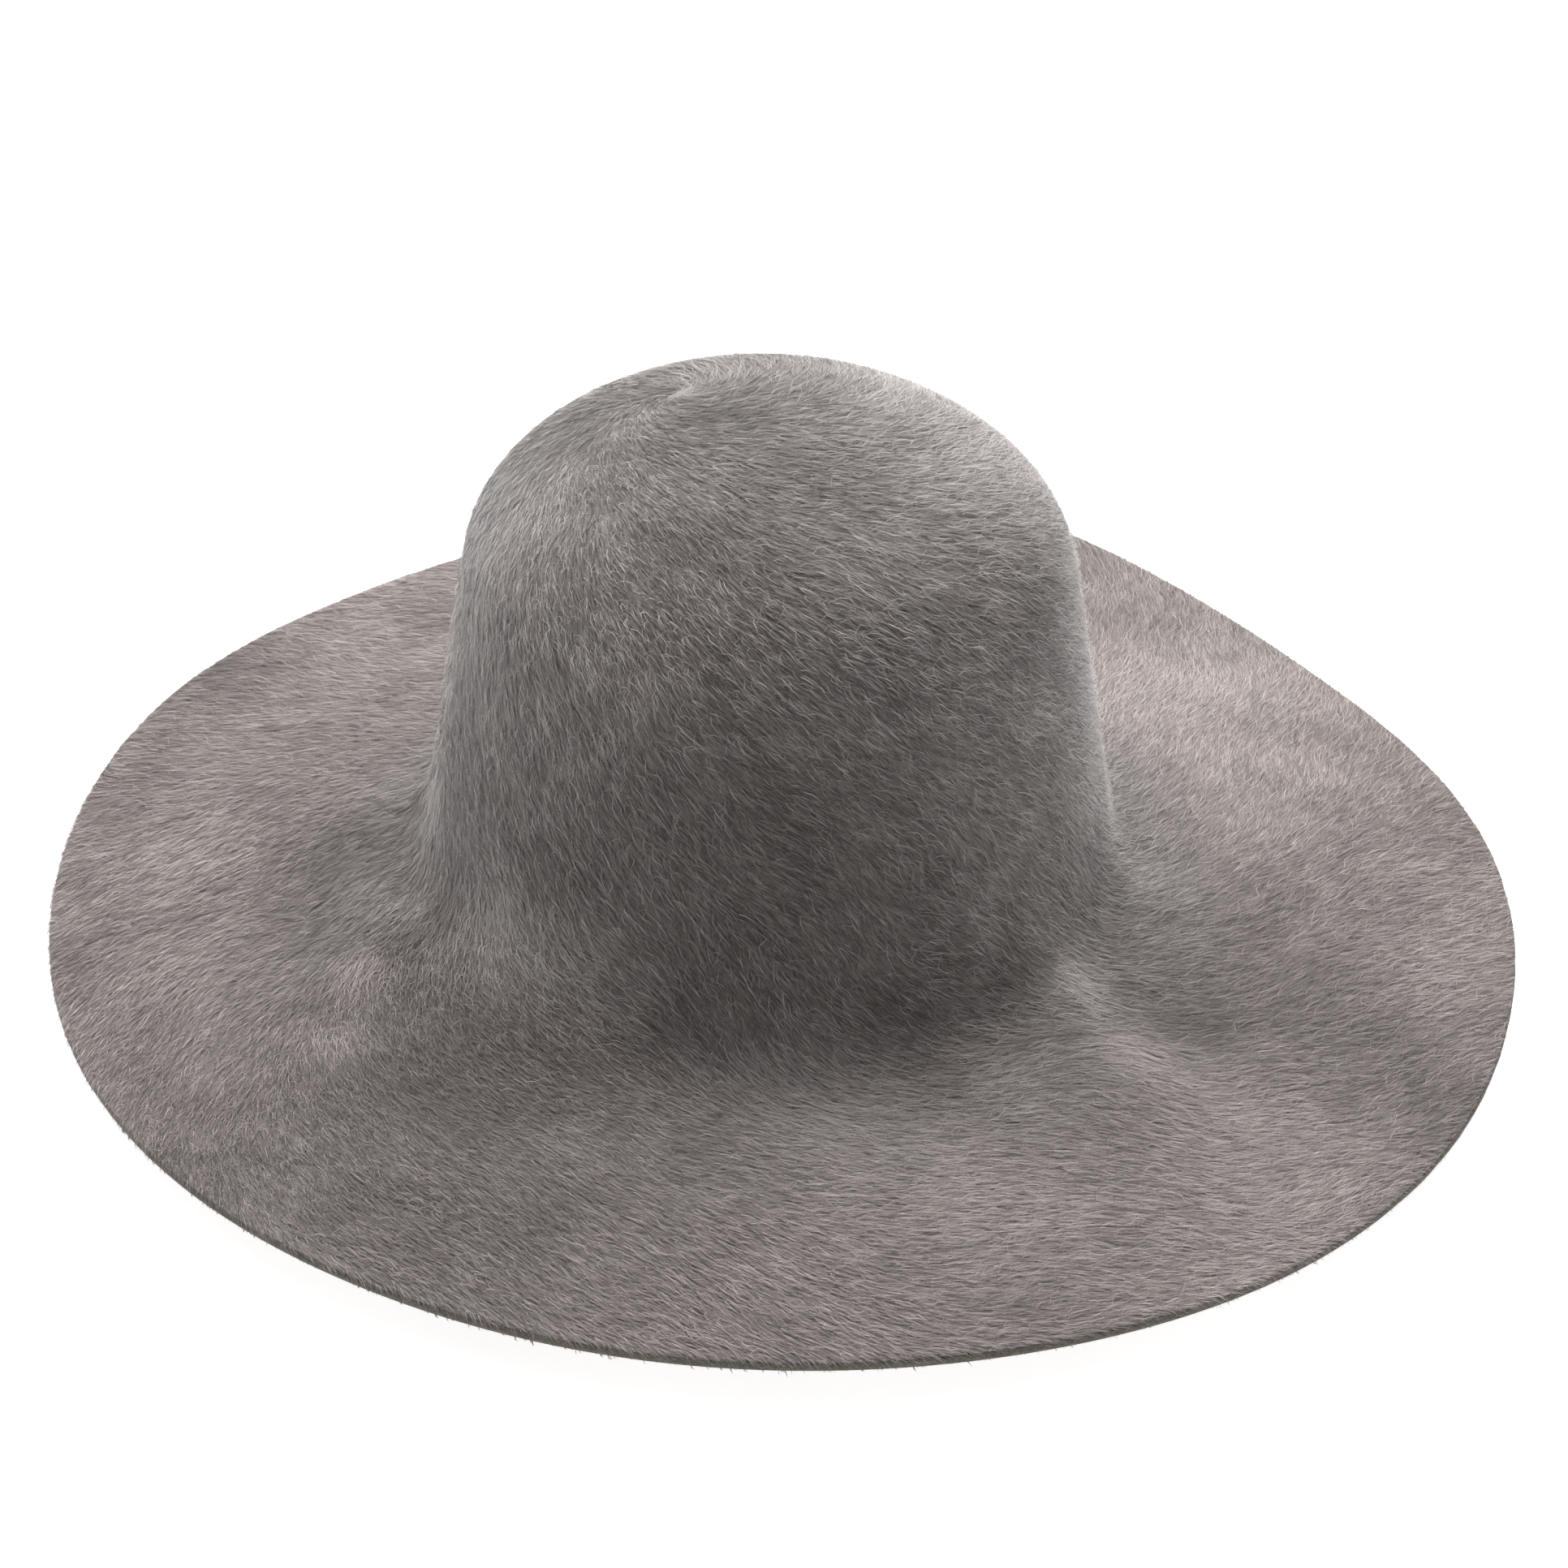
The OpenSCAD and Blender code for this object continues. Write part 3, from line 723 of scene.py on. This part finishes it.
LINING_T = 0.4
LINING_OUT = FELT_T + 0.3
BACKING_T = 0.4
BACKING_OUT = LINING_OUT + LINING_T + 0.25
BAND_OUT = BACKING_OUT + 0.65
BAND_IN = BAND_OUT + 1.2
BAND_LOW, BAND_H = 17.6, 32.0
SEAM_ANGLE = 90.0                       # where the bands' ends meet, at the back
BAND_GAP, REED_GAP = 0.25, 0.4          # degrees from there to the ends
BACKING_HALF, SLEEVE_HALF = 6, 5        # degrees that half of each covers
REED_H, REED_R = 15.0, 0.7
REED_DEPTH = (BAND_OUT + BAND_IN) / 2 - 0.3
SLEEVE_OUTER_R, SLEEVE_INNER_R = 1.0, 0.76
TAPE_OUTER_R, TAPE_INNER_R = 1.35, 1.05
TAPE_OUT_TOP, TAPE_IN_TOP = 24.0, REED_H + 1
LINING_LOW, LINING_SEAM, LINING_SLACK = 28.0, 89.0, 3.0
SEAM_GAP = 0.3
PLEATS, PLEAT_DEPTH = 44, 0.55          # how many round the lining, and share of its slack
PLEAT_FADE = 9                          # mm from the seam, or degrees from the label, to full depth
LABEL_CLEAR = 13                        # degrees each side of the label without pleats
LABEL_ANGLE, LABEL_H = 180.0, 68.0


def arc(depth, height, r, start, end, steps):
    """Points [depth, height] on an arc; 0 degrees points inward, 90 up."""
    a = np.radians(np.linspace(start, end, steps + 1))
    return np.stack([depth + r * np.cos(a), height + r * np.sin(a)], -1)


def strip_outline(depth_out, depth_in, low, high):
    """Outline of a strip with rounded edges, anticlockwise from the outer lower corner."""
    r = (depth_in - depth_out) / 2
    mid = depth_out + r
    return np.concatenate([arc(mid, low + r, r, 180, 360, 6), arc(mid, high - r, r, 0, 180, 6)])


def swept(name, outline, mats, start=0.0, end=360.0, step=1.5):
    """Sweeps a closed outline of [depth, height] points round the inside of the crown."""
    closed = end - start >= 360
    stations = int(round((end - start) / step)) + 1
    angles = np.linspace(start, end, stations)[:-1 if closed else None]
    count, n = len(angles), len(outline)
    depth, height = outline[:, 0], outline[:, 1]
    points = crown_point(angles[:, None] + 0 * height, height + 0 * angles[:, None], depth)
    i, k = np.meshgrid(np.arange(count if closed else count - 1), np.arange(n), indexing="ij")
    after, beside = (i + 1) % count, (k + 1) % n
    quads = np.stack([after * n + k, after * n + beside, i * n + beside, i * n + k], -1)
    faces = [quads.reshape(-1, 4)]
    if not closed:
        ring = np.arange(n)
        faces += [ring[None, :], ((count - 1) * n + ring[::-1])[None, :]]
    return mesh_object(name, placed(points.reshape(-1, 3)), faces, mats)


def round_from(gap):
    """Start and end angle of a band that goes round and stops short of the seam by gap at both ends."""
    return SEAM_ANGLE + gap, SEAM_ANGLE + 360 - gap


def scaled(colour, factor):
    return tuple(factor * c for c in colour)


def leather_material(name, dark, light):
    m = material(name, light, 0.5, Specular_IOR_Level=0.4)
    n = Nodes(m)
    where = n.place()
    cloud = n.add("ShaderNodeTexNoise", {"Vector": where, "Scale": 45.0, "Detail": 4.0})
    pores = n.add("ShaderNodeTexVoronoi", {"Vector": where, "Scale": 1100.0})
    n.link(n.ramp(cloud.outputs["Fac"], dark, light, 0.3, 0.7), "Base Color")
    n.roughness(cloud.outputs["Fac"], 0.42, 0.6)
    n.bump(pores.outputs["Distance"], 0.35, 0.0002)
    return m


def woven_material(name, colour, roughness, period, direction="X", depth=0.00012, **sockets):
    """Cloth with raised ribs every period metres, painted darker between them as painted shade in the
    grooves.
    """
    m = material(name, colour, roughness, **sockets)
    n = Nodes(m)
    wave_scale = math.pi / (10 * period)        # the wave texture repeats every pi / 10 at scale 1
    ribs = n.add("ShaderNodeTexWave",
                 {"Vector": n.place(), "Scale": wave_scale, "Distortion": 0.6, "Detail": 1.0},
                 wave_type="BANDS", bands_direction=direction)
    # painted shade: darker where the ribs are low, following the same wave as the bump
    n.link(n.ramp(ribs.outputs["Fac"], scaled(colour, 0.75), colour), "Base Color")
    n.bump(ribs.outputs["Fac"], 0.6, depth)
    return m


def satin_material(name, colour):
    """Smooth shiny cloth with a faint unevenness of its threads."""
    m = material(name, colour, 0.33, Sheen_Weight=0.3, Sheen_Roughness=0.3, Specular_IOR_Level=0.6)
    n = Nodes(m)
    long_way = n.add("ShaderNodeMapping", {"Vector": n.place(), "Scale": (1.0, 1.0, 0.12)})
    threads = n.add("ShaderNodeTexNoise",
                    {"Vector": long_way.outputs["Vector"], "Scale": 1500.0, "Detail": 3.0})
    n.link(n.ramp(threads.outputs["Fac"], scaled(colour, 0.86), colour, 0.3, 0.7), "Base Color")
    n.roughness(threads.outputs["Fac"], 0.26, 0.42)
    n.bump(threads.outputs["Fac"], 0.25, 0.00008)
    return m


def dress(nodes, m):
    """Shows CAD nodes with a material of their own."""
    for node in nodes:
        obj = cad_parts[node]
        obj.data.materials.clear()
        obj.data.materials.append(m)


def tape_outline():
    """The folded tape: down outside the reed, round it and a little up inside."""
    return np.concatenate([
        [[REED_DEPTH - TAPE_OUTER_R, TAPE_OUT_TOP]],
        arc(REED_DEPTH, REED_H, TAPE_OUTER_R, 180, 360, 12),
        [[REED_DEPTH + TAPE_OUTER_R, TAPE_IN_TOP], [REED_DEPTH + TAPE_INNER_R, TAPE_IN_TOP]],
        arc(REED_DEPTH, REED_H, TAPE_INNER_R, 360, 180, 12),
        [[REED_DEPTH - TAPE_INNER_R, TAPE_OUT_TOP]]])


def sleeve_outline():
    """The crimped metal sleeve, open along one side."""
    return np.concatenate([arc(REED_DEPTH, REED_H, SLEEVE_OUTER_R, 105, 435, 24),
                           arc(REED_DEPTH, REED_H, SLEEVE_INNER_R, 435, 105, 24)])


def build_bands():
    leather = leather_material("sweatband_leather", (0.085, 0.056, 0.04), (0.135, 0.09, 0.064))
    patch = leather_material("backing_leather", (0.075, 0.05, 0.036), (0.11, 0.074, 0.052))
    tape = woven_material("binding_tape", (0.052, 0.049, 0.049), 0.85, 0.0007)
    thread = woven_material("thread", (0.045, 0.04, 0.036), 0.6, 0.0005, depth=0.00006)
    ribbon = woven_material("ribbon", (0.055, 0.05, 0.05), 0.5, 0.0008, Sheen_Weight=0.3)
    plastic = material("reed_plastic", (0.62, 0.62, 0.58), 0.35, Subsurface_Weight=0.2)
    metal = material("sleeve_metal", (0.56, 0.56, 0.57), 0.38, Metallic=1.0)

    band = strip_outline(BAND_OUT, BAND_IN, BAND_LOW, BAND_LOW + BAND_H)
    strip = swept("sweatband_leather_strip", band, [leather], *round_from(BAND_GAP), 1.0)
    seat(strip, "sweatband_leather", "sweatband")
    seat(swept("reed_tape_cloth", tape_outline(), [tape]), "binding_tape", "reed_tape")
    cord = arc(REED_DEPTH, REED_H, REED_R, 0, 330, 11)
    seat(swept("reed_cord", cord, [plastic], *round_from(REED_GAP)), "reed_plastic", "reed")
    crimp = swept("reed_crimp_sleeve", sleeve_outline(), [metal], SEAM_ANGLE - SLEEVE_HALF,
                  SEAM_ANGLE + SLEEVE_HALF, 1.0)
    seat(crimp, "sleeve_metal", "reed_sleeve")
    behind = strip_outline(BACKING_OUT, BACKING_OUT + BACKING_T, BAND_LOW + 7, BAND_LOW + BAND_H - 2)
    backing = swept("seam_backing_leather", behind, [patch], SEAM_ANGLE - BACKING_HALF,
                    SEAM_ANGLE + BACKING_HALF, 1.0)
    seat(backing, "backing_leather", "seam_backing")
    dress(("seam_stitches", "sweatband_stitches", "label_stitches"), thread)
    dress(("bow_ribbon", "bow_knot"), ribbon)


def lining_depth(h):
    slack_from = BAND_LOW + BAND_H + 1
    return LINING_OUT + LINING_SLACK * np.maximum(0, h - slack_from) / (LINING_SEAM - slack_from)


def pleats(a, h):
    """Soft pleats of the slack lining, none behind the sweatband, at the seam or near the label."""
    t = np.radians(a)
    wave = np.sin(PLEATS * t + 1.5 * np.sin(3 * t) + 0.8 * np.sin(5 * t)) * (0.75 + 0.25 * np.sin(7 * t))
    at_seam = np.clip((LINING_SEAM - h) / PLEAT_FADE, 0, 1)
    at_label = np.clip((np.abs(turn(a - LABEL_ANGLE)) - LABEL_CLEAR) / PLEAT_FADE, 0, 1)
    return PLEAT_DEPTH * (lining_depth(h) - LINING_OUT) * wave * at_seam * at_label


def ring_shell(name, outside, inside, mats, apex=None):
    """A closed thin shell from two matching stacks of rings; apex is the outer and inner top point."""
    count, size = outside.shape[:2]
    verts = np.concatenate([outside.reshape(-1, 3), inside.reshape(-1, 3)])
    base, j = count * size, np.arange(size)
    k = (j + 1) % size
    skin = ring_faces(count, size)
    last = (count - 1) * size
    quads = [skin, skin[:, ::-1] + base, np.stack([last + j, base + last + j, base + last + k, last + k], -1)]
    faces = []
    if apex is None:
        quads.append(np.stack([j, k, base + k, base + j], -1))
    else:
        verts = np.concatenate([verts, apex])
        top = len(verts) - 2
        faces = [fan(top, j, k), fan(top + 1, base + k, base + j)]
    return mesh_object(name, placed(verts), [np.concatenate(quads)] + faces, mats)


SIDE_RINGS, TIP_RINGS = 22, 18
GATHERS, GATHER_H = 38, 0.35            # how many round the lining's tip, and their height
GATHER_RING, GATHER_RINGS = 3, 3        # the ring where they are highest, and over how many they fade
TIP_DEPTH = LINING_OUT + LINING_SLACK
PIPING_R, PIPING_GAP = 0.8, 0.95        # radius, and its middle from the lining


def tip_ring(i, off):
    """Ring i of the lining's tip, off inward from the outer felt, gathered a little above the seam."""
    t, seam = np.radians(ANGLES), LINING_SEAM + SEAM_GAP
    h = seam + (CROWN_H - off - LINING_SEAM - SEAM_GAP) * math.sin(math.pi / 2 * i / TIP_RINGS)
    fade = math.exp(-((i - GATHER_RING) / GATHER_RINGS) ** 2)
    gather = GATHER_H * fade * np.sin(GATHERS * t + 1.2 * np.sin(4 * t))
    p = crown_point(ANGLES, h + 0 * ANGLES, off)
    centre = crown_point(0 * ANGLES, h + 0 * ANGLES, CROWN_HALF_W - WALL_TAPER * h + 0 * ANGLES)
    return p + unit(p - centre) * gather[:, None] * (i > 0)


def build_lining():
    satin = satin_material("lining_satin", (0.34, 0.325, 0.315))
    heights = np.linspace(LINING_SEAM - SEAM_GAP, LINING_LOW, SIDE_RINGS)
    outside, inside = [], []
    for h in heights:
        depth = lining_depth(h) + pleats(ANGLES, h)
        outside.append(crown_point(ANGLES, h + 0 * ANGLES, depth))
        inside.append(crown_point(ANGLES, h + 0 * ANGLES, depth + LINING_T))
    side = ring_shell("lining_side_satin", np.array(outside), np.array(inside), [satin])
    seat(side, "satin", "lining_side")

    depths = (TIP_DEPTH, TIP_DEPTH + LINING_T)
    outside, inside = (np.array([tip_ring(i, off) for i in range(TIP_RINGS - 1, -1, -1)]) for off in depths)
    top = [one_crown_point(0.0, CROWN_H - off, off) for off in depths]
    tip = seat(ring_shell("lining_tip_satin", outside, inside, [satin], top), "satin", "lining_tip")

    cord = satin_material("piping_satin", (0.19, 0.178, 0.17))
    cord_outline = arc(TIP_DEPTH + LINING_T + PIPING_GAP, LINING_SEAM, PIPING_R, 0, 330, 11)
    seat(swept("lining_piping_cord", cord_outline, [cord]), "piping", "lining_piping")


# ---- Label

LABEL_W, LABEL_DROP, LABEL_T = 26.0, 28.0, 0.4
LABEL_HALF_ANGLE = 8.7                          # degrees of the lining that half the hem covers
HEM_HEIGHTS = (74.5, 73, 71.5, 70, 69.2, 68.7)
HEM_TOP, HEM_GAP, LINE_GAP = 6.5, 0.35, 1.4     # top above the line, and how far hem and line are in
LABEL_SAG = 0.25
LABEL_COLUMNS, FLAP_ROWS = 15, 20


def label_grid(line, across):
    """Rows of points from the hem's top, which follows the lining, to the foot of the free label."""
    hem_depth = lining_depth(LABEL_H + HEM_TOP) + LINING_T + HEM_GAP
    rows = [crown_point(LABEL_ANGLE - LABEL_HALF_ANGLE * across, h + 0 * across, hem_depth)
            for h in HEM_HEIGHTS]
    for down in np.linspace(0, LABEL_DROP, FLAP_ROWS):
        sag = LABEL_SAG * math.sin(math.pi * down / LABEL_DROP) * np.cos(3 * across)
        row = [line[0] + sag, line[1] + LABEL_W / 2 * across, line[2] - down + 0 * across]
        rows.append(np.stack(row, -1))
    return np.array(rows)


def thick_sheet_faces(count, size):
    """Quads of a sheet with a front and a back grid of count rows and size columns, and its rim."""
    i, j = np.meshgrid(np.arange(count - 1), np.arange(size - 1), indexing="ij")
    a = (i * size + j).reshape(-1)
    skin = np.stack([a, a + size, a + size + 1, a + 1], -1)
    back = count * size
    rim = np.concatenate([np.arange(size - 1), size - 1 + size * np.arange(count - 1),
                          count * size - 1 - np.arange(size - 1), (count - 1 - np.arange(count - 1)) * size])
    after = np.roll(rim, -1)
    edge = np.stack([rim, after, after + back, rim + back], -1)
    return np.concatenate([skin[:, ::-1], skin + back, edge[:, ::-1]])


def build_label():
    """One ribbon: a stitched hem that follows the lining, folded over into the free label."""
    line = one_crown_point(LABEL_ANGLE, LABEL_H, lining_depth(LABEL_H) + LINING_T + LINE_GAP)
    grid = label_grid(line, np.linspace(-1, 1, LABEL_COLUMNS))
    n = unit(np.cross(np.gradient(grid, axis=1), np.gradient(grid, axis=0)))
    verts = np.concatenate([(grid + n * LABEL_T / 2).reshape(-1, 3), (grid - n * LABEL_T / 2).reshape(-1, 3)])
    cloth = woven_material("label", (0.62, 0.6, 0.55), 0.6, 0.0006, "Y", 0.00005)
    label = mesh_object("label_ribbon", placed(verts), [thick_sheet_faces(*grid.shape[:2])], [cloth])
    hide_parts("label_hem", "label_flap")
    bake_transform(label)


# ---- Stage, light and camera (metres, degrees)

FLOOR_R, WALL_H = 12.0, 12.0
FLOOR_GLOW = 0.8        # the floor's own light, which softens the shadow under the brim
WORLD_STRENGTH = 0.25
LIGHT_TARGET = Vector((0, 0, 0.06))
# name, width, power, azimuth, elevation, distance from the target
LIGHTS = [("key_behind_right", 1.0, 28.0, 62, 48, 1.5),
          ("key_behind_left", 1.0, 25.0, 132, 46, 1.5),
          ("top", 1.4, 15.0, 90, 80, 1.6)]
CAMERA_ELEVATION, CAMERA_ROLL = 33.6, 1.79
CAMERA_DISTANCE = 0.9588
CAMERA_LENS, CAMERA_SENSOR = 80.9, 36.0         # mm
CAMERA_SHIFT_Y = 0.0522
CAMERA_REACH = 50.0                             # the farthest thing that it sees


def glowing_material(name, strength):
    return material(name, (0.9, 0.9, 0.9), 0.9, Emission_Color=(1, 1, 1, 1), Emission_Strength=strength)


def build_stage():
    """A round pale floor with a far white wall that only the camera sees."""
    t = np.radians(np.arange(0, 360, 5.0))
    rim = FLOOR_R * np.stack([np.cos(t), np.sin(t), 0 * t], -1)
    disc = np.arange(len(t))[None, :]
    mesh_object("floor", rim, [disc], [glowing_material("pale_floor", FLOOR_GLOW)])
    wall_rings = np.concatenate([rim + (0, 0, WALL_H), rim])
    wall = mesh_object("backdrop", wall_rings, [ring_faces(2, len(t))], [glowing_material("white_wall", 1.0)])
    wall.visible_diffuse = wall.visible_glossy = wall.visible_shadow = False
    world = bpy.data.worlds.new("studio")
    world.use_nodes = True
    background = world.node_tree.nodes["Background"]
    background.inputs["Color"].default_value = (1, 1, 1, 1)
    background.inputs["Strength"].default_value = WORLD_STRENGTH
    bpy.context.scene.world = world


def toward(obj, target, back, distance):
    """Puts a light or camera at a distance from the target in the direction back, looking at it."""
    obj.location = target + back * distance
    obj.rotation_mode = "QUATERNION"
    obj.rotation_quaternion = back.to_track_quat("Z", "Y")
    bpy.context.scene.collection.objects.link(obj)


def area_light(name, size, power, azimuth, elevation, distance):
    light = bpy.data.lights.new(name, "AREA")
    light.shape = "DISK"
    light.size = size
    light.energy = power
    a, e = math.radians(azimuth), math.radians(elevation)
    back = Vector((math.cos(a) * math.cos(e), math.sin(a) * math.cos(e), math.sin(e)))
    toward(bpy.data.objects.new(name, light), LIGHT_TARGET, back, distance)


def build_camera():
    """Front view from above, at the angle that the hat was seen from."""
    data = bpy.data.cameras.new("camera")
    data.sensor_width = CAMERA_SENSOR
    data.lens = CAMERA_LENS
    data.shift_y = CAMERA_SHIFT_Y
    data.clip_end = CAMERA_REACH
    cam = bpy.data.objects.new("camera", data)
    elevation = math.radians(CAMERA_ELEVATION)
    back = Vector((0, -math.cos(elevation), math.sin(elevation)))
    toward(cam, Vector(TO_FRAME), back, CAMERA_DISTANCE)
    cam.rotation_quaternion = cam.rotation_quaternion @ Quaternion((0, 0, 1), math.radians(CAMERA_ROLL))
    bpy.context.scene.camera = cam


build_felt()
build_nap()
build_bands()
build_lining()
build_label()
build_stage()
for row in LIGHTS:
    area_light(*row)
build_camera()
bpy.context.scene.view_settings.view_transform = "Standard"
